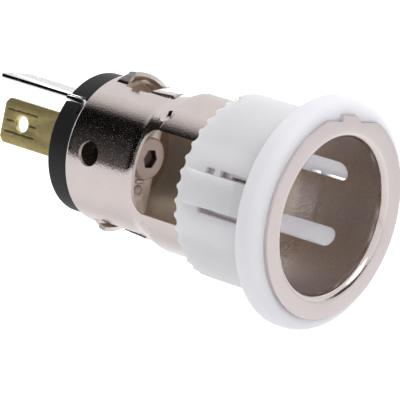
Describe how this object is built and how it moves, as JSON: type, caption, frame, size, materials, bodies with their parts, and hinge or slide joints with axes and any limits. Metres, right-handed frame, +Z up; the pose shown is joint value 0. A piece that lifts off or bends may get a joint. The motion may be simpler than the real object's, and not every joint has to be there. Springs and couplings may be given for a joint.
{
  "type": "car 12v power socket",
  "caption": "Car 12 V power socket: plated steel barrel in a white snap-in collar, with side spring fingers, a centre contact, a black rear cap and blade terminals.",
  "frame": {"origin": "on the barrel's axis, in the plane where the back of the collar's flange seats on the panel", "axes": "-Y out of the mouth along the bore's axis, +Y towards the terminals, +Z up towards the key on the steel flange, +X to the right when the mouth faces the viewer"},
  "size_m": [0.0318, 0.0567, 0.0318],
  "materials": {
    "plated_steel": "satin nickel plate",
    "white_plastic": "translucent white, light satin",
    "black_plastic": "moulded, matt",
    "brass": "dull, stamped",
    "bright_steel": "satin zinc plate",
    "phenolic": "pressed paper board, matt"
  },
  "bodies": {
    "root": {"socket_shell": "plated_steel", "light_collar": "white_plastic", "rear_cap": "black_plastic", "contact_screw": "bright_steel", "contact_strip": "plated_steel", "strip_rivets": "bright_steel", "insulating_washer": "phenolic", "power_blade": "brass", "ground_blade": "plated_steel", "lock_washer": "bright_steel", "clamp_nut": "bright_steel"}
  },
  "joints": []
}
